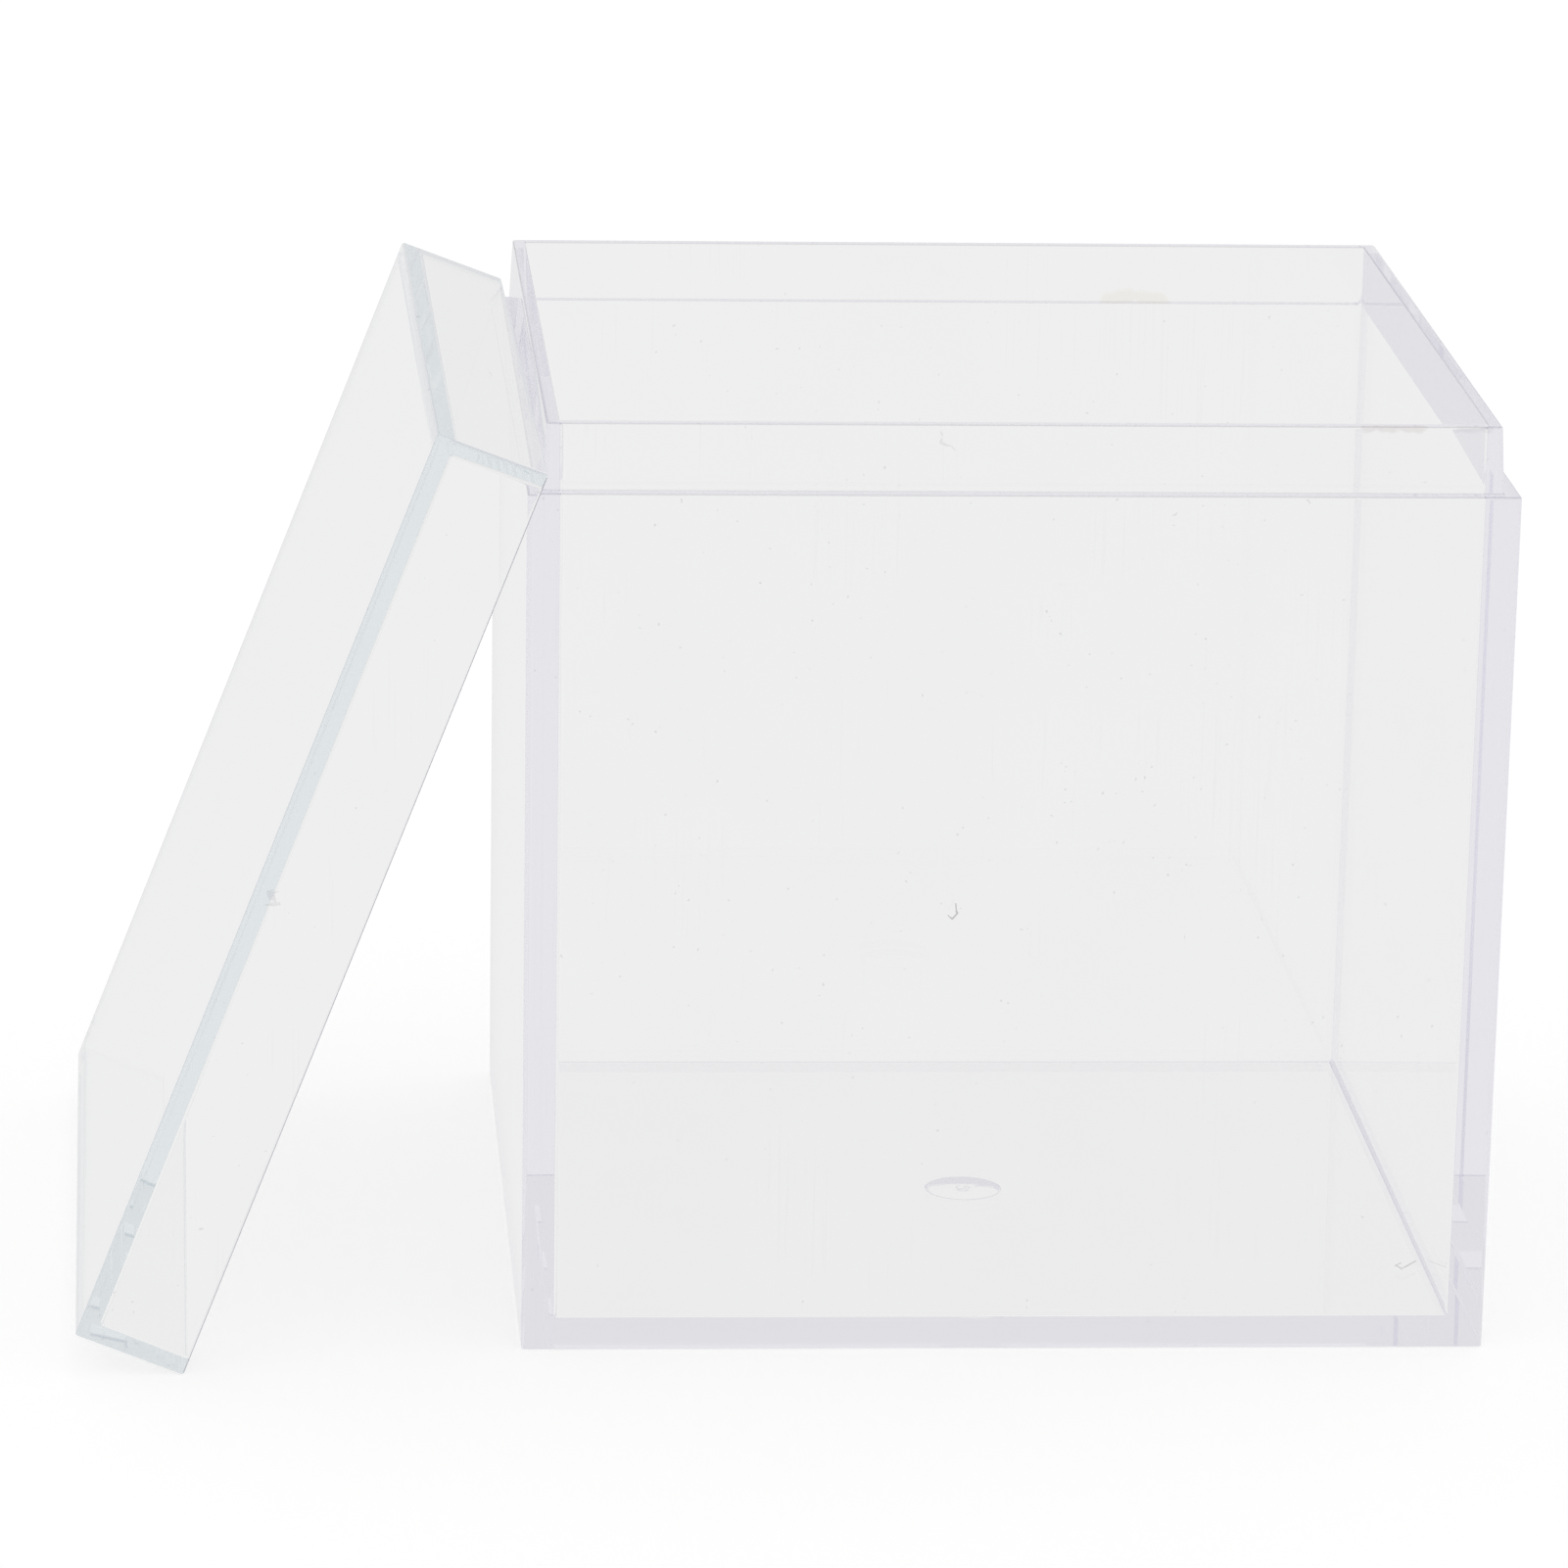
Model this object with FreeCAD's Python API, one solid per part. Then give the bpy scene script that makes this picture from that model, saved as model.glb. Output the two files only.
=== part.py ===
"""A clear moulded candy box: a square open box with a stepped neck, and its shallow lift-off lid.

The lid is off and leans on the box's left side, with its bottom edge on the table, its top edge against the
neck and its open side towards the box. Lengths are in millimetres, +Z is up, the front is -Y, and the origin
is the middle of the box's base, on the table.
"""
import math
import os

import FreeCAD, Part

# Box: outside
box_width = 75.0           # both ways across the shoulder, where the box is widest
shoulder_height = 67.4     # from the table to the ledge that carries the closed lid
side_draft = 0.33          # each side draws in this much from the shoulder down to the base
neck_height = 5.1          # from the ledge up to the rim
neck_draft = 0.24          # each side of the neck draws in this much up to the rim
ledge = 1.2                # width of the step round the neck, at its foot
box_height = shoulder_height + neck_height

# Box: inside
wall = 2.5                 # side wall below the shoulder
floor_thickness = 2.0

# Box: rounding of its edges
box_edge_round = 0.35      # upright edges outside
base_edge_round = 0.12     # edge round the base
box_inside_round = 0.3     # upright edges inside, and the edge round the floor
rim_round = 0.22           # both edges of the rim
shoulder_round = 0.2       # outer edge of the ledge

# Moulding gate under the middle of the floor
gate_recess_width = 6.2
gate_recess_depth = 0.5
gate_stub_width = 1.5
gate_stub_height = 0.3

# Lid
lid_depth = 8.8            # from its rim to the outside of its panel
lid_panel = 1.5            # the closed face
lid_fit = 0.1              # gap on each side between the lid's wall and the neck, when it is on
lid_wall = ledge - lid_fit  # so that the closed lid's sides are flush with the box's
lid_side_draft = 0.08      # each side draws in this much from the rim to the panel, outside
lid_inside_draft = 0.15    # and this much inside
lid_edge_round = 0.3       # upright edges outside, with the lid lying flat
lid_panel_round = 0.45     # edge round the panel outside
lid_inside_round = 0.3     # inside edges, round the panel and upright
lid_rim_round = 0.2        # both edges of the lid's rim

# Scar of the lid's moulding gate, on the middle of one side wall beside the panel
scar_length = 1.9
scar_width = 1.1
scar_height = 0.12

# Where the lid leans
lid_top_rise = 0.66        # height of the leaning lid's highest edge above the box's rim, before its rounding
turn_angle = 0.7           # degrees that the lid is turned about the upright, its front edge towards the box
lid_forward = 5.2          # the lid stands this much further to the front than the box
lean_gap = 0.1             # left between the lid and the box where they come nearest

# How far cutting bodies run past what they cut
overrun = 1.0

X_AXIS = FreeCAD.Vector(1, 0, 0)
Y_AXIS = FreeCAD.Vector(0, 1, 0)
Z_AXIS = FreeCAD.Vector(0, 0, 1)


def tapered_block(low_width, low_height, high_width, high_height):
    """A square block about the Z axis, whose width changes evenly from its low face to its high face."""
    low, high = low_width / 2, high_width / 2
    # A wedge narrows along its own Y, which is then turned up
    block = Part.makeWedge(-low, low_height, -low, -high, -high, low, high_height, low, high, high)
    block.rotate(FreeCAD.Vector(0, 0, 0), X_AXIS, 90)
    return block


def edges_at_height(shape, height, slack):
    """Edges that lie flat at a height."""
    return [e for e in shape.Edges
            if abs(e.BoundBox.ZMin - height) < slack and abs(e.BoundBox.ZMax - height) < slack]


def upright_edges(shape):
    """Edges that climb the whole height of a block."""
    span = shape.BoundBox.ZLength
    return [e for e in shape.Edges if e.BoundBox.ZLength > span / 2]


def box_outline_width(height):
    """Outside width of the box below its shoulder, or of its neck above it."""
    if height <= shoulder_height:
        return box_width - 2 * side_draft * (1 - height / shoulder_height)
    climbed = min((height - shoulder_height) / neck_height, 1)
    return box_width - 2 * ledge - 2 * neck_draft * climbed


def box_inside_width(height):
    """Width of the box's inside, which has the draft of the outside all the way up."""
    return box_width - 2 * wall - 2 * side_draft * (1 - height / shoulder_height)


def make_box_body():
    """The open box with its neck, its rounded edges and the gate recess under its floor."""
    slack = rim_round / 10

    outside = tapered_block(box_outline_width(0), 0, box_width, shoulder_height)
    outside = outside.makeFillet(box_edge_round, upright_edges(outside))
    outside = outside.makeFillet(base_edge_round, edges_at_height(outside, 0, slack))
    outside = outside.makeFillet(shoulder_round, edges_at_height(outside, shoulder_height, slack))

    neck_foot = shoulder_height - overrun
    foot_width = box_width - 2 * ledge
    neck = tapered_block(foot_width, shoulder_height, box_outline_width(box_height), box_height)
    neck = neck.makeFillet(box_edge_round, upright_edges(neck))
    root = tapered_block(foot_width, neck_foot, foot_width, shoulder_height)
    root = root.makeFillet(box_edge_round, upright_edges(root))
    outside = outside.fuse([neck, root]).removeSplitter()

    inside_top = box_height + overrun
    inside = tapered_block(box_inside_width(floor_thickness), floor_thickness,
                           box_inside_width(inside_top), inside_top)
    floor_edges = edges_at_height(inside, floor_thickness, slack)
    inside = inside.makeFillet(box_inside_round, upright_edges(inside) + floor_edges)
    body = outside.cut(inside)
    body = body.makeFillet(rim_round, edges_at_height(body, box_height, slack))

    recess = Part.makeCylinder(gate_recess_width / 2, gate_recess_depth + overrun,
                               FreeCAD.Vector(0, 0, -overrun))
    roof = edges_at_height(recess, gate_recess_depth, slack)
    recess = recess.makeFillet(gate_recess_depth / 2, roof)
    stub = Part.makeCone(gate_stub_width / 3, gate_stub_width / 2, gate_stub_height + gate_recess_depth,
                         FreeCAD.Vector(0, 0, gate_recess_depth - gate_stub_height))
    return body.cut(recess).fuse(stub).removeSplitter()


def make_lid_in_place_of_use():
    """The lid with its rim down at Z = 0 and its panel up, about the Z axis, as it sits on the box."""
    slack = lid_rim_round / 10
    outside = tapered_block(box_width, 0, box_width - 2 * lid_side_draft, lid_depth)
    outside = outside.makeFillet(lid_edge_round, upright_edges(outside))
    outside = outside.makeFillet(lid_panel_round, edges_at_height(outside, lid_depth, slack))

    inside_height = lid_depth - lid_panel
    inside_width = box_width - 2 * lid_wall
    draft_below = lid_inside_draft * overrun / inside_height
    inside = tapered_block(inside_width + 2 * draft_below, -overrun,
                           inside_width - 2 * lid_inside_draft, inside_height)
    rounded = upright_edges(inside) + edges_at_height(inside, inside_height, slack)
    inside = inside.makeFillet(lid_inside_round, rounded)
    lid = outside.cut(inside)
    lid = lid.makeFillet(lid_rim_round, edges_at_height(lid, 0, slack))

    scar_middle = lid_depth - lid_panel
    wall_there = box_width / 2 - lid_side_draft * scar_middle / lid_depth
    scar = Part.makeBox(scar_length, scar_height + lid_wall / 2, scar_width)
    scar.translate(FreeCAD.Vector(-scar_length / 2, -wall_there - scar_height, scar_middle - scar_width / 2))
    return lid.fuse(scar).removeSplitter()


def lean_of_lid():
    """Angle in radians between the leaning lid's panel and the upright.

    It brings the lid's highest edge near the box's rim. A lid too short for that stands as high as it can.
    """
    top_height = box_height + lid_top_rise
    diagonal = math.hypot(box_width, lid_depth)
    return math.atan2(lid_depth, box_width) + math.acos(min(top_height / diagonal, 1))


def place_leaning(lid):
    """Stands the lid on its bottom edge and leans it on the box's left side."""
    lean = lean_of_lid()
    turn = math.radians(turn_angle)
    # What the rounded rim takes off the lid's height and reach
    rounding = lid_rim_round * (math.sin(lean) + math.cos(lean) - 1)
    middle_height = box_width / 2 * math.cos(lean) - rounding
    top_reach = box_width / 2 * math.sin(lean) - rounding
    shoulder_reach = (shoulder_height - middle_height) * math.tan(lean)

    # Each place where the lid can touch: the box's width there, then how far the place lies from the lid's
    # middle, towards the box and to the back
    touched_width = box_outline_width(2 * middle_height)
    touches = [
        # The lid's top edge, at the front end of the box's side
        (touched_width, top_reach, lid_forward - touched_width / 2),
        # The rim of the lid's back wall, at the box's shoulder
        (box_width, min(shoulder_reach, top_reach), box_width / 2 - lid_wall),
    ]
    middle_x = min(-width / 2 - lean_gap - reach * math.cos(turn) + backward * math.sin(turn)
                   for width, reach, backward in touches)

    lid.rotate(FreeCAD.Vector(0, 0, 0), Y_AXIS, math.degrees(lean) - 90)
    lid.rotate(FreeCAD.Vector(0, 0, 0), Z_AXIS, turn_angle)
    lid.translate(FreeCAD.Vector(middle_x, -lid_forward, middle_height))
    return lid


def main():
    """Builds the two pieces and writes each to its own file."""
    pieces = {
        "box_body": make_box_body(),
        "lid": place_leaning(make_lid_in_place_of_use()),
    }
    os.makedirs("parts", exist_ok=True)
    for name, shape in pieces.items():
        if len(shape.Solids) != 1 or not shape.isValid():
            raise RuntimeError(name + " is not one valid solid")
        shape.Solids[0].exportStep("parts/" + name + ".step")
        box = shape.optimalBoundingBox(True, False)
        print(name, "volume %.1f" % shape.Volume,
              "x %.2f..%.2f" % (box.XMin, box.XMax),
              "y %.2f..%.2f" % (box.YMin, box.YMax),
              "z %.3f..%.3f" % (box.ZMin, box.ZMax))


main()
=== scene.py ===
"""The looks of a clear moulded candy box whose lid stands leaning on it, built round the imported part."""
import math

import bmesh
import bpy
from mathutils import Matrix, Vector


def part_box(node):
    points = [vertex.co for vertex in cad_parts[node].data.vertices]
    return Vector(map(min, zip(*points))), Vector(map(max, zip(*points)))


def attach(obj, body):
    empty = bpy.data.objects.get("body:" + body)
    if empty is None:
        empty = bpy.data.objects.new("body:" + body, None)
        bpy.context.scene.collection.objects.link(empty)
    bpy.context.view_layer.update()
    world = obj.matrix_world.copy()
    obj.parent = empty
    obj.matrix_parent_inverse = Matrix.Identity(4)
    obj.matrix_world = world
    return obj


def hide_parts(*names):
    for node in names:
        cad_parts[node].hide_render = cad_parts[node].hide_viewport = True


MM = 0.001
FLAT_AREA = 30 * MM * MM       # a face larger than this is flat, and a smaller one is part of a rounding
TINY = 0.001 * MM              # a face lower than this is part of the flat base
SLACK = 0.02 * MM              # how far from its height an edge may lie and still be picked
LEVEL = 0.9                    # a face whose normal climbs or falls by more than this counts as level
SAME_LEAN = 0.5                # two normals whose climbs differ by less than this lean alike
SMOOTH_ANGLE = math.radians(50)  # faces that meet at less than this share their shading

# Light
MOST_BOUNCES = 24              # how often light may turn inside the plastic before it counts as trapped
TRAPPED_LEVEL = (0.74, 0.735, 0.76)
ROOM_LEVEL = 0.81              # brightness of the room round the object
TABLE_COLOR = 0.3              # the table's own tone, which takes the shadow
TABLE_GLOW_SEEN = 0.775        # light that it adds for the camera
TABLE_GLOW_THROUGH = 0.865     # its whole level where it is reflected or seen through the plastic
TABLE_BELOW = 0.05 * MM        # so that it doesn't lie in the base's plane
TABLE_SIZE = 6.0

# Box, where its height doesn't say it
BOX_WIDTH = 75.0 * MM
SIDE_DRAFT = 0.33 * MM         # each side draws in this much from the shoulder down to the base
NECK_HEIGHT = 5.1 * MM
NECK_DRAFT = 0.24 * MM         # each side of the neck draws in this much up to the rim
LEDGE = 1.2 * MM               # the step round the neck
WALL = 2.5 * MM
FLOOR = 2.0 * MM
BOX_EDGE_ROUND = 0.35 * MM
BASE_EDGE_ROUND = 0.12 * MM
BOX_INSIDE_ROUND = 0.3 * MM
RIM_ROUND = 0.22 * MM
SHOULDER_ROUND = 0.2 * MM
NECK_FOOT_ROUND = 0.1 * MM

# Strips that a rounding is made of
EDGE_STRIPS = 4
RIM_STRIPS = 3
FINE_STRIPS = 2

# Moulding gate under the middle of the floor
RECESS_WIDTH = 6.2 * MM
RECESS_DEPTH = 0.5 * MM
RECESS_SIDES = 64
STUB_WIDTH = 1.5 * MM          # at its foot; its broken end is two thirds as wide
STUB_HEIGHT = 0.3 * MM
STUB_SIDES = 24
STUB_SLANT = math.radians(12)

# Lid
LID_DEPTH = 8.8 * MM
LID_PANEL = 1.5 * MM
LID_WALL = 1.1 * MM
LID_SIDE_DRAFT = 0.08 * MM
LID_INSIDE_DRAFT = 0.15 * MM
LID_EDGE_ROUND = 0.3 * MM
LID_PANEL_ROUND = 0.2 * MM
LID_INSIDE_ROUND = 0.3 * MM
LID_RIM_ROUND = 0.2 * MM
LID_TOP_RISE = 0.66 * MM       # how far its highest edge, before the rounding, stands above the box's rim
LID_TURN = math.radians(0.7)

# Scar of the lid's moulding gate, on its front wall beside the panel
SCAR_LENGTH = 1.9 * MM
SCAR_WIDTH = 1.1 * MM
SCAR_HEIGHT = 0.12 * MM
SCAR_CUTS = 5

# Camera, as the photograph's
PHOTO_SIDE = 1601
FOCAL_PIXELS = 8501.0
SENSOR = 36.0
CAMERA_PLACE = Vector((-61.47, -644.32, 203.63)) * MM
CAMERA_DOWN = math.radians(14.613)
CAMERA_TURN = math.radians(4.113)
CAMERA_ROLL = math.radians(1.140)
CAMERA_NEAREST, CAMERA_FARTHEST = 0.05, 20.0

# Plastic
BOX_TINT = (0.961, 0.957, 0.979)
LID_TINT = (0.932, 0.953, 0.963)
TINT_DENSITY = 30.0
REFRACTION = 1.59
PAINTED_EDGE_SHADE = (0.30, 0.28, 0.36)    # painted shade: the dark colour of an edge line along a rounding, at its fullest
RUBBED_ROUGHNESS = 0.3
BOX_RUBBING_AND_SHADE = 0.5              # how much the box's rim and shoulder are roughened and darkened with painted shade
LID_RUBBING_AND_SHADE = 1.0              # the front of the lid's rim
SCAR_RUBBING_AND_SHADE = 0.3             # and the lid's scar
RUBBED_AND_SHADED_SLOPES = 0.4, 0.92      # how far up or down a strip's normal may point and still be roughened and given painted shade
FACING = 0.2                   # a face whose normal points this far forwards is on the front
CLOUD_SHARE = 0.995            # light that a faint cloud leaves
SCRATCH_SHARE = 0.975          # and a fine scratch
SPECK_SHARE = 0.75             # and a speck of dust
WANDER = 0.4 * MM              # how far marks stray from their lines
CLOUDS = 90                    # how fine each pattern is, to a metre
SCRATCHES = (5000, 5000, 60)
SPECKS = 2600
WANDERING = 1500
CLOUD_LEVELS = 0.35, 0.7       # levels of the noise between which each pattern sets in
SCRATCH_LEVELS = 0.70, 0.78
PATCH_LEVELS = 0.45, 0.38      # scratches keep to where the clouds are below these
SPECK_LEVELS = 0.86, 0.89
MARK_LEVELS = 0.3, 0.7         # shares of its width between which a mark fades out

# Marks of use: colour, strength, width and the points that they pass through, in mm
DARK = (0.10, 0.10, 0.12)
GREY = (0.45, 0.44, 0.48)
BROWN = (0.42, 0.28, 0.24)
BEIGE = (0.91, 0.87, 0.78)
BOX_MARKS = (
    # Smear on the back of the neck, at its foot
    (BEIGE, 0.8, 1.3, ((13.8, 36.4, 67.7), (15.4, 36.4, 68.0))),
    (BEIGE, 0.8, 1.2, ((16.4, 36.4, 67.9), (18.3, 36.4, 67.7))),
    # Dirt along the front of the rim
    (BROWN, 0.3, 0.7, ((25.6, -35.9, 72.4), (29.9, -35.9, 72.4))),
    (GREY, 0.3, 0.7, ((32.8, -35.9, 72.4), (35.0, -35.9, 72.4))),
    # Fibre hanging over the front of the rim
    (GREY, 0.4, 0.14, ((-6.4, -36.1, 72.3), (-6.48, -36.15, 71.1), (-4.9, -36.2, 70.4))),
    # Painted shade of a chip in the right side of the rim
    (DARK, 0.8, 0.45, ((36.0, -4.0, 72.4),)),
    # Curled hair on the front
    (DARK, 0.7, 0.13, ((-4.55, -37.35, 35.6), (-4.45, -37.35, 34.8),
                       (-4.8, -37.35, 34.4), (-5.1, -37.35, 34.7))),
    # Another on the floor
    (DARK, 0.7, 0.18, ((32.9, -21.2, 2.0), (32.4, -21.8, 2.0), (32.7, -22.8, 2.0), (34.1, -20.8, 2.0))),
)
LID_MARKS = (
    # Specks on the top side, and a brown spot beside the lowest corner of the rim
    (GREY, 0.8, 0.16, ((-39.6, -10.0, 71.0), (-39.3, -11.8, 71.0))),
    (DARK, 0.9, 0.26, ((-44.7, 1.5, 73.0),)),
    (DARK, 0.9, 0.26, ((-44.5, -26.0, 72.9),)),
    (BROWN, 0.9, 0.35, ((-62.9, -39.1, 0.3),)),
)

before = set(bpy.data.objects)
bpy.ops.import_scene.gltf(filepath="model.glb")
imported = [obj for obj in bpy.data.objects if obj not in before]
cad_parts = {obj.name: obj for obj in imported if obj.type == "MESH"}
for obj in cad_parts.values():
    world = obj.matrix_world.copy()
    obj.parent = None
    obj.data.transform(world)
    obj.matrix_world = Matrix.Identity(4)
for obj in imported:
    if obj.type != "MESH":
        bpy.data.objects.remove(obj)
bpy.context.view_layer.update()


def deselect():
    """Leaves nothing selected."""
    if bpy.context.object and bpy.context.object.mode != "OBJECT":
        bpy.ops.object.mode_set(mode="OBJECT")
    bpy.ops.object.select_all(action="DESELECT")


def start_block(name, width, height, middle_z):
    """A square block to shape further, with its place in its mesh."""
    deselect()
    bpy.ops.mesh.primitive_cube_add(size=1, location=(0, 0, middle_z))
    block = bpy.context.object
    block.name = block.data.name = name
    block.scale = (width, width, height)
    bpy.ops.object.transform_apply(location=True, rotation=True, scale=True)
    bpy.ops.object.mode_set(mode="EDIT")
    bpy.ops.mesh.select_mode(type="FACE")
    return block


def pick_faces(piece, wanted):
    """Selects just the faces whose middle and normal are wanted."""
    bpy.ops.mesh.select_mode(type="FACE")
    bpy.ops.mesh.select_all(action="DESELECT")
    mesh = bmesh.from_edit_mesh(piece.data)
    for face in mesh.faces:
        if wanted(face.calc_center_median(), face.normal):
            face.select_set(True)
    bmesh.update_edit_mesh(piece.data)


def pick_edges(piece, wanted):
    """Selects just the edges whose two ends are wanted."""
    bpy.ops.mesh.select_mode(type="EDGE")
    bpy.ops.mesh.select_all(action="DESELECT")
    mesh = bmesh.from_edit_mesh(piece.data)
    for edge in mesh.edges:
        if wanted(edge.verts[0].co, edge.verts[1].co):
            edge.select_set(True)
    bmesh.update_edit_mesh(piece.data)


def widen(share, middle):
    """Widens what is selected, about a middle on the upright axis."""
    bpy.ops.transform.resize(value=(share, share, 1), center_override=middle)


def push_up(distance):
    """Extrudes the selected faces straight up, or down where the distance is negative."""
    bpy.ops.mesh.extrude_region_move(TRANSFORM_OT_translate={"value": (0, 0, distance)})


def round_off(radius, strips):
    """Rounds the selected edges."""
    bpy.ops.mesh.bevel(offset=radius, segments=strips, profile=0.5, affect="EDGES", clamp_overlap=True)


def drop_flat_edges(piece):
    """Leaves selected only the edges between two faces that lean differently."""
    mesh = bmesh.from_edit_mesh(piece.data)
    for edge in mesh.edges:
        if edge.select and abs(edge.link_faces[0].normal.z - edge.link_faces[1].normal.z) < SAME_LEAN:
            edge.select_set(False)
    bmesh.update_edit_mesh(piece.data)


def combine(piece, tool, operation):
    """Cuts a tool's shape out of a piece, or joins it on."""
    deselect()
    piece.select_set(True)
    bpy.context.view_layer.objects.active = piece
    change = piece.modifiers.new("combine", "BOOLEAN")
    change.operation = operation
    change.solver = "EXACT"
    change.object = tool
    bpy.ops.object.modifier_apply(modifier=change.name)
    bpy.data.objects.remove(tool)


def rub_and_shade(piece, amount, wanted):
    """Marks the small faces that are wanted by an amount, for the material, which makes them rough and
    darkens them with painted shade.
    """
    marks = piece.data.attributes
    rubbed_and_shaded = marks.get("rubbed_and_shaded") or marks.new("rubbed_and_shaded", "FLOAT", "FACE")
    for face in piece.data.polygons:
        if face.area < FLAT_AREA and wanted(face.center, face.normal):
            rubbed_and_shaded.data[face.index].value = amount


def slopes(normal):
    """Tells whether a face is a sloping strip of a rounding."""
    return RUBBED_AND_SHADED_SLOPES[0] < abs(normal.z) < RUBBED_AND_SHADED_SLOPES[1]


def lies_at(height):
    """A test for edges that lie flat at a height."""
    return lambda a, b: abs(a.z - height) < SLACK and abs(b.z - height) < SLACK


def stands(low, high):
    """A test for edges that climb from one height to another."""
    return lambda a, b: abs(min(a.z, b.z) - low) < SLACK and abs(max(a.z, b.z) - high) < SLACK


def make_box():
    """The open box with its stepped neck."""
    low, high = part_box("box_body")
    width, height = BOX_WIDTH, high.z - low.z
    shoulder = height - NECK_HEIGHT
    base_width = width - 2 * SIDE_DRAFT
    rim_width = width - 2 * LEDGE - 2 * NECK_DRAFT
    inside = lambda z: width - 2 * WALL - 2 * SIDE_DRAFT * (1 - z / shoulder)

    box = start_block("clear_box", base_width, shoulder, shoulder / 2)
    pick_faces(box, lambda centre, normal: normal.z > LEVEL)
    widen(width / base_width, (0, 0, shoulder))
    bpy.ops.mesh.inset(thickness=LEDGE, depth=0)
    push_up(NECK_HEIGHT)
    widen(rim_width / (width - 2 * LEDGE), (0, 0, height))
    bpy.ops.mesh.inset(thickness=(rim_width - inside(height)) / 2, depth=0)
    push_up(FLOOR - height)
    widen(inside(FLOOR) / inside(height), (0, 0, FLOOR))

    outer = lambda a, b: max(abs(a.x), abs(b.x)) > inside(height) / 2 + RIM_ROUND / 2
    pick_edges(box, lambda a, b: outer(a, b) and stands(0, shoulder)(a, b))
    round_off(BOX_EDGE_ROUND, EDGE_STRIPS)
    pick_edges(box, lies_at(0))
    round_off(BASE_EDGE_ROUND, FINE_STRIPS)
    pick_edges(box, lambda a, b: outer(a, b) and stands(shoulder, height)(a, b))
    round_off(BOX_EDGE_ROUND, EDGE_STRIPS)
    pick_edges(box, lambda a, b: stands(FLOOR, height)(a, b) or lies_at(FLOOR)(a, b))
    round_off(BOX_INSIDE_ROUND, EDGE_STRIPS)
    pick_edges(box, lies_at(height))
    drop_flat_edges(box)
    round_off(RIM_ROUND, RIM_STRIPS)
    beyond_ledge = lambda point: max(abs(point.x), abs(point.y)) > (width - LEDGE) / 2
    on_ledge = lies_at(shoulder)
    pick_edges(box, lambda a, b: on_ledge(a, b) and beyond_ledge(a) and beyond_ledge(b))
    drop_flat_edges(box)
    round_off(SHOULDER_ROUND, RIM_STRIPS)
    pick_edges(box, lambda a, b: on_ledge(a, b) and not (beyond_ledge(a) or beyond_ledge(b)))
    round_off(NECK_FOOT_ROUND, FINE_STRIPS)
    bpy.ops.object.mode_set(mode="OBJECT")

    add_gate(box)

    # The rim's and shoulder's rounding strips are roughened and darkened with painted shade
    near = lambda z, level: abs(z - level) < RIM_ROUND
    rub_and_shade(box, BOX_RUBBING_AND_SHADE, lambda centre, normal: slopes(normal)
        and (near(centre.z, height) or near(centre.z, shoulder)))
    return box


def add_gate(box):
    """The round recess of the moulding gate under the floor, with the broken stub in it."""
    deselect()
    below = 1 * MM  # how far the cut starts under the base
    bpy.ops.mesh.primitive_cylinder_add(vertices=RECESS_SIDES, radius=RECESS_WIDTH / 2,
                                        depth=RECESS_DEPTH + below,
                                        location=(0, 0, (RECESS_DEPTH - below) / 2))
    recess = bpy.context.object
    bpy.ops.object.transform_apply(location=True, rotation=True, scale=True)
    bpy.ops.object.mode_set(mode="EDIT")
    pick_edges(recess, lies_at(RECESS_DEPTH))
    round_off(RECESS_DEPTH / 2, EDGE_STRIPS)
    bpy.ops.object.mode_set(mode="OBJECT")
    combine(box, recess, "DIFFERENCE")

    deselect()
    stub_low, stub_high = RECESS_DEPTH - STUB_HEIGHT, 2 * RECESS_DEPTH
    bpy.ops.mesh.primitive_cone_add(vertices=STUB_SIDES, radius1=STUB_WIDTH / 3, radius2=STUB_WIDTH / 2,
                                    depth=stub_high - stub_low, location=(0, 0, (stub_low + stub_high) / 2))
    stub = bpy.context.object
    bpy.ops.object.transform_apply(location=True, rotation=True, scale=True)
    bpy.ops.object.mode_set(mode="EDIT")
    pick_faces(stub, lambda centre, normal: normal.z < -LEVEL)
    bpy.ops.mesh.inset(thickness=STUB_WIDTH / 10, depth=0)
    bpy.ops.transform.rotate(value=STUB_SLANT, orient_axis="Y", center_override=(0, 0, stub_low))
    bpy.ops.object.mode_set(mode="OBJECT")
    combine(box, stub, "UNION")
    # Cutting leaves the base's corners a hair off its plane
    for vertex in box.data.vertices:
        if abs(vertex.co.z) < TINY:
            vertex.co.z = 0


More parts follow.
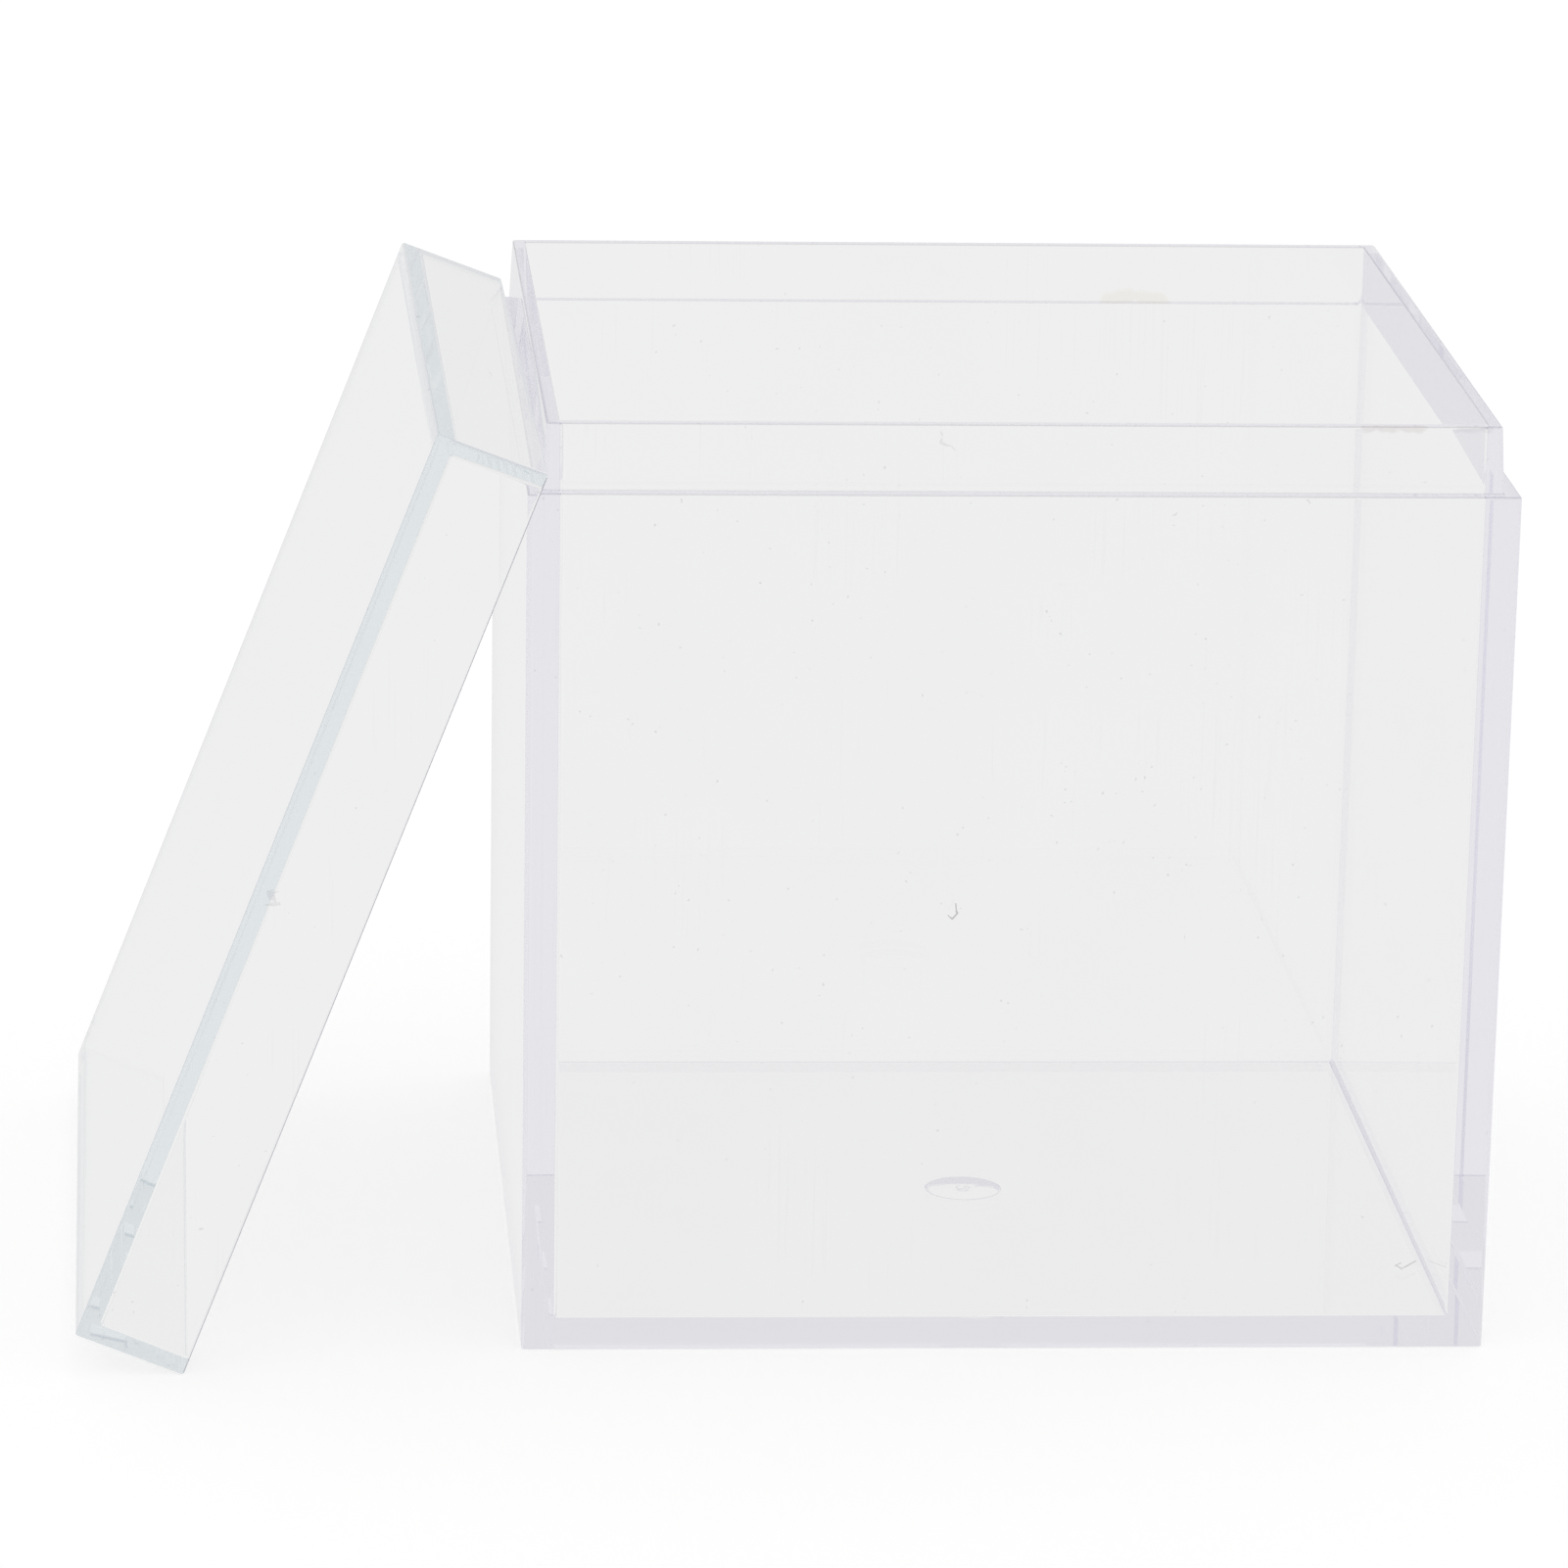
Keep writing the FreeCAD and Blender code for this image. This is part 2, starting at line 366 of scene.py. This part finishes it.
def make_lid():
    """The lid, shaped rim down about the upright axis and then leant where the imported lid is."""
    width = BOX_WIDTH
    panel_width = width - 2 * LID_SIDE_DRAFT
    inside_width = width - 2 * LID_WALL
    inside_top = LID_DEPTH - LID_PANEL

    lid = start_block("clear_lid", width, LID_DEPTH, LID_DEPTH / 2)
    pick_faces(lid, lambda centre, normal: normal.z > LEVEL)
    widen(panel_width / width, (0, 0, LID_DEPTH))
    pick_faces(lid, lambda centre, normal: normal.z < -LEVEL)
    bpy.ops.mesh.inset(thickness=LID_WALL, depth=0)
    push_up(inside_top)
    widen((inside_width - 2 * LID_INSIDE_DRAFT) / inside_width, (0, 0, inside_top))

    pick_edges(lid, stands(0, LID_DEPTH))
    round_off(LID_EDGE_ROUND, EDGE_STRIPS)
    pick_edges(lid, lies_at(LID_DEPTH))
    round_off(LID_PANEL_ROUND, RIM_STRIPS)
    pick_edges(lid, lambda a, b: stands(0, inside_top)(a, b) or lies_at(inside_top)(a, b))
    round_off(LID_INSIDE_ROUND, EDGE_STRIPS)
    pick_edges(lid, lies_at(0))
    drop_flat_edges(lid)
    round_off(LID_RIM_ROUND, RIM_STRIPS)
    bpy.ops.object.mode_set(mode="OBJECT")

    add_scar(lid)
    faces_front = lambda centre, normal: centre.y < 0 and normal.y < -FACING
    # The front of the rim's rounding and the gate scar are roughened and darkened with painted shade
    rub_and_shade(lid, LID_RUBBING_AND_SHADE, lambda centre, normal: faces_front(centre, normal)
        and centre.z < LID_RIM_ROUND and abs(centre.x) < width / 4 and normal.z < -RUBBED_AND_SHADED_SLOPES[0])
    rub_and_shade(lid, SCAR_RUBBING_AND_SHADE, lambda centre, normal: faces_front(centre, normal)
        and abs(centre.z - inside_top) < SCAR_WIDTH and abs(centre.x) < SCAR_LENGTH)

    lean = Matrix.Rotation(lean_of_lid() - math.pi / 2, 4, "Y")
    lid.matrix_world = Matrix.Rotation(LID_TURN, 4, "Z") @ lean
    bpy.context.view_layer.update()
    bpy.ops.object.transform_apply(location=True, rotation=True, scale=True)
    corners = [v.co for v in lid.data.vertices]
    middle = (Vector(map(min, *corners)) + Vector(map(max, *corners))) / 2
    low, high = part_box("lid")
    lid.location = (low + high) / 2 - middle
    bpy.context.view_layer.update()
    bpy.ops.object.transform_apply(location=True, rotation=True, scale=True)
    return lid


def add_scar(lid):
    """The ragged scar of the moulding gate, in the middle of the front wall beside the panel."""
    deselect()
    height = LID_DEPTH - LID_PANEL
    bpy.ops.mesh.primitive_cube_add(size=1, location=(0, -BOX_WIDTH / 2 + LID_SIDE_DRAFT, height))
    scar = bpy.context.object
    scar.scale = (SCAR_LENGTH, SCAR_HEIGHT, SCAR_WIDTH)
    bpy.ops.object.transform_apply(location=True, rotation=True, scale=True)
    bpy.ops.object.mode_set(mode="EDIT")
    bpy.ops.mesh.subdivide(number_cuts=SCAR_CUTS)
    mesh = bmesh.from_edit_mesh(scar.data)
    for vertex in mesh.verts:
        along, up = vertex.co.x / SCAR_LENGTH, (vertex.co.z - height) / SCAR_WIDTH
        ragged = math.sin(17 * along + 5 * up) * math.cos(11 * up - 6 * along)
        vertex.co.y += SCAR_HEIGHT * (0.5 * ragged + 3 * along * along + 3 * up * up)
        vertex.co.z += 0.3 * SCAR_WIDTH * math.sin(9 * along)
    bmesh.update_edit_mesh(scar.data)
    bpy.ops.mesh.select_all(action="SELECT")
    bpy.ops.mesh.normals_make_consistent(inside=False)
    bpy.ops.object.mode_set(mode="OBJECT")
    combine(lid, scar, "UNION")


def lean_of_lid():
    """Angle between the leaning lid's panel and the upright, from how high its top edge stands."""
    low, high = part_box("box_body")
    return (math.atan2(LID_DEPTH, BOX_WIDTH)
            + math.acos((high.z - low.z + LID_TOP_RISE) / math.hypot(BOX_WIDTH, LID_DEPTH)))


def finish_shading(piece):
    """Smooth round edges between faces that stay exactly flat."""
    deselect()
    piece.select_set(True)
    bpy.context.view_layer.objects.active = piece
    bpy.ops.object.shade_smooth()
    mesh = piece.data
    around = [[] for _ in mesh.vertices]
    for face in mesh.polygons:
        for vertex in face.vertices:
            around[vertex].append(face)
    normals = [None] * len(mesh.loops)
    for face in mesh.polygons:
        for corner in face.loop_indices:
            near = [other for other in around[mesh.loops[corner].vertex_index]
                    if other.normal.angle(face.normal, 0) < SMOOTH_ANGLE]
            flat = [other for other in near if other.area > FLAT_AREA or other.center.z < TINY]
            if flat:
                normals[corner] = max(flat, key=lambda other: other.area).normal
            else:
                normals[corner] = sum((other.normal for other in near), Vector()).normalized()
    mesh.normals_split_custom_set(normals)


def feed(tree, sockets, values):
    """Gives sockets their numbers, or links them to other nodes' results."""
    for socket, value in zip(sockets, values):
        if isinstance(value, bpy.types.NodeSocket):
            tree.links.new(value, socket)
        else:
            socket.default_value = value


def calculate(tree, operation, *values, clamp=False):
    node = tree.nodes.new("ShaderNodeMath")
    node.operation = operation
    node.use_clamp = clamp
    feed(tree, node.inputs, values)
    return node.outputs[0]


def calculate_vector(tree, operation, *values):
    node = tree.nodes.new("ShaderNodeVectorMath")
    node.operation = operation
    feed(tree, node.inputs, values)
    return node.outputs["Value" if operation in ("DOT_PRODUCT", "DISTANCE") else "Vector"]


def step(tree, value, begins, ends, low, high):
    """A value's smooth change from low to high, between where it begins and ends."""
    node = tree.nodes.new("ShaderNodeMapRange")
    node.interpolation_type = "SMOOTHSTEP"
    feed(tree, node.inputs, (value, begins, ends, low, high))
    return node.outputs[0]


def mix_colors(tree, share, below, above):
    node = tree.nodes.new("ShaderNodeMix")
    node.data_type = "RGBA"
    feed(tree, (node.inputs[0], node.inputs[6], node.inputs[7]), (share, below, above))
    return node.outputs[2]


def noise(tree, place, scale, detail):
    node = tree.nodes.new("ShaderNodeTexNoise")
    feed(tree, (node.inputs["Vector"], node.inputs["Scale"], node.inputs["Detail"]), (place, scale, detail))
    return node.outputs[0]


def trail(tree, place, points, width):
    """How far a thin mark through some points, in mm, covers a place: 1 on it and 0 beside it."""
    points = [Vector(point) * MM for point in points]
    away = calculate_vector(tree, "DISTANCE", place, points[0])
    for start, end in zip(points, points[1:]):
        along = end - start
        from_start = calculate_vector(tree, "SUBTRACT", place, start)
        passed = calculate_vector(tree, "DOT_PRODUCT", from_start, along / along.length_squared)
        foot = calculate_vector(tree, "MULTIPLY", along, calculate(tree, "ADD", passed, 0, clamp=True))
        away = calculate(tree, "MINIMUM", away, calculate_vector(tree, "DISTANCE", from_start, foot))
    return step(tree, away, MARK_LEVELS[0] * width * MM, MARK_LEVELS[1] * width * MM, 1.0, 0.0)


def worn_and_shaded_color(tree, rubbed_and_shaded, marks):
    """The plastic's own colour with its dust, fine scratches and the marks of use, and painted shade along
    the marked edges and at a chip.
    """
    place = tree.nodes.new("ShaderNodeTexCoord").outputs["Object"]

    # Faint clouds, patches of upright scratches, and specks of dust
    clouds = noise(tree, place, CLOUDS, 1)
    light = step(tree, clouds, *CLOUD_LEVELS, 1.0, CLOUD_SHARE)
    stretched = calculate_vector(tree, "MULTIPLY", place, SCRATCHES)
    lines = step(tree, noise(tree, stretched, 1, 0), *SCRATCH_LEVELS, 0.0, 1 - SCRATCH_SHARE)
    patches = step(tree, clouds, *PATCH_LEVELS, 0.0, 1.0)
    light = calculate(tree, "SUBTRACT", light, calculate(tree, "MULTIPLY", lines, patches))
    specks = step(tree, noise(tree, place, SPECKS, 0), *SPECK_LEVELS, 0.0, 1 - SPECK_SHARE)
    light = calculate(tree, "SUBTRACT", light, specks)
    # Painted shade darkens the marked edges toward the dark edge colour
    color = mix_colors(tree, light, (0, 0, 0, 1), mix_colors(tree, rubbed_and_shaded, (1, 1, 1, 1), (*PAINTED_EDGE_SHADE, 1)))

    # Marks, on places that wander a little so that no line is straight
    aside = calculate(tree, "SUBTRACT", noise(tree, place, WANDERING, 0), 0.5)
    wander = calculate(tree, "MULTIPLY", aside, WANDER)
    place = calculate_vector(tree, "ADD", place, wander)
    for mark_color, strength, width, points in marks:
        cover = calculate(tree, "MULTIPLY", trail(tree, place, points, width), strength)
        color = mix_colors(tree, cover, color, (*mark_color, 1))
    return color


def clear_plastic(name, tint, marks):
    """Clear moulded plastic: nothing to see across a wall, and a tint along it."""
    material = bpy.data.materials.new(name)
    material.use_nodes = True
    tree = material.node_tree
    shader = tree.nodes["Principled BSDF"]
    shader.inputs["IOR"].default_value = REFRACTION
    shader.inputs["Transmission Weight"].default_value = 1.0
    # The marked edges get roughness, and painted shade in their colour
    edges = tree.nodes.new("ShaderNodeAttribute")
    edges.attribute_name = "rubbed_and_shaded"
    rubbed_and_shaded = edges.outputs["Fac"]
    tree.links.new(worn_and_shaded_color(tree, rubbed_and_shaded, marks), shader.inputs["Base Color"])
    tree.links.new(calculate(tree, "MULTIPLY", rubbed_and_shaded, RUBBED_ROUGHNESS), shader.inputs["Roughness"])

    # Light that has turned inside the plastic to the last bounce gets the level of the room
    shader.inputs["Emission Color"].default_value = (*TRAPPED_LEVEL, 1)
    depth = tree.nodes.new("ShaderNodeLightPath").outputs["Ray Depth"]
    trapped = calculate(tree, "GREATER_THAN", depth, MOST_BOUNCES + 0.5)
    tree.links.new(trapped, shader.inputs["Emission Strength"])

    inside = tree.nodes.new("ShaderNodeVolumeAbsorption")
    inside.inputs["Color"].default_value = (*tint, 1)
    inside.inputs["Density"].default_value = TINT_DENSITY
    tree.links.new(inside.outputs["Volume"], tree.nodes["Material Output"].inputs["Volume"])
    return material


def make_floor():
    """A pale floor that the camera sees as white."""
    deselect()
    bpy.ops.mesh.primitive_plane_add(size=TABLE_SIZE, location=(0, 0, -TABLE_BELOW))
    floor = bpy.context.object
    floor.name = "floor"
    material = bpy.data.materials.new("white_table")
    material.use_nodes = True
    tree = material.node_tree
    tree.nodes.clear()
    out = tree.nodes.new("ShaderNodeOutputMaterial")
    surface = tree.nodes.new("ShaderNodeBsdfDiffuse")
    surface.inputs["Color"].default_value = (TABLE_COLOR, TABLE_COLOR, TABLE_COLOR, 1)
    path = tree.nodes.new("ShaderNodeLightPath")
    glow = tree.nodes.new("ShaderNodeEmission")
    glow.inputs["Strength"].default_value = TABLE_GLOW_SEEN
    open_table = tree.nodes.new("ShaderNodeAddShader")
    tree.links.new(surface.outputs[0], open_table.inputs[0])
    tree.links.new(glow.outputs[0], open_table.inputs[1])
    behind = tree.nodes.new("ShaderNodeEmission")
    behind.inputs["Strength"].default_value = TABLE_GLOW_THROUGH
    through = calculate(tree, "MAXIMUM", path.outputs["Is Glossy Ray"], path.outputs["Is Transmission Ray"])
    either = tree.nodes.new("ShaderNodeMixShader")
    tree.links.new(through, either.inputs[0])
    tree.links.new(open_table.outputs[0], either.inputs[1])
    tree.links.new(behind.outputs[0], either.inputs[2])
    tree.links.new(either.outputs[0], out.inputs["Surface"])
    floor.data.materials.append(material)


def make_world():
    """An evenly bright room, which the camera itself sees as white."""
    world = bpy.data.worlds.new("studio")
    bpy.context.scene.world = world
    world.use_nodes = True
    tree = world.node_tree
    background = tree.nodes["Background"]
    background.inputs["Color"].default_value = (1, 1, 1, 1)
    seen = tree.nodes.new("ShaderNodeLightPath").outputs["Is Camera Ray"]
    tree.links.new(calculate(tree, "MAXIMUM", seen, ROOM_LEVEL), background.inputs["Strength"])


def make_camera():
    """The photograph's view."""
    deselect()
    data = bpy.data.cameras.new("view")
    camera = bpy.data.objects.new("view", data)
    bpy.context.scene.collection.objects.link(camera)
    data.sensor_width = SENSOR
    data.lens = FOCAL_PIXELS / PHOTO_SIDE * SENSOR
    ahead = Vector((math.sin(CAMERA_TURN) * math.cos(CAMERA_DOWN),
                    math.cos(CAMERA_TURN) * math.cos(CAMERA_DOWN), -math.sin(CAMERA_DOWN)))
    right = ahead.cross(Vector((0, 0, 1))).normalized()
    down = ahead.cross(right)
    turned_right = math.cos(CAMERA_ROLL) * right - math.sin(CAMERA_ROLL) * down
    turned_down = math.sin(CAMERA_ROLL) * right + math.cos(CAMERA_ROLL) * down
    camera.matrix_world = (Matrix.Translation(CAMERA_PLACE)
                           @ Matrix((turned_right, -turned_down, -ahead)).transposed().to_4x4())
    data.clip_start, data.clip_end = CAMERA_NEAREST, CAMERA_FARTHEST
    bpy.context.scene.camera = camera


make_camera()
make_world()
make_floor()
box = make_box()
lid = make_lid()
for piece, body, node, slot, tint, marks in (
        (box, "box", "box_body", "clear_box_plastic", BOX_TINT, BOX_MARKS),
        (lid, "lid", "lid", "clear_lid_plastic", LID_TINT, LID_MARKS)):
    finish_shading(piece)
    piece.data.materials.append(clear_plastic(slot, tint, marks))
    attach(piece, body)
    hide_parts(node)
bpy.context.scene.view_settings.view_transform = "Standard"
tracing = bpy.context.scene.cycles
tracing.max_bounces = MOST_BOUNCES
tracing.glossy_bounces = MOST_BOUNCES
tracing.transmission_bounces = MOST_BOUNCES
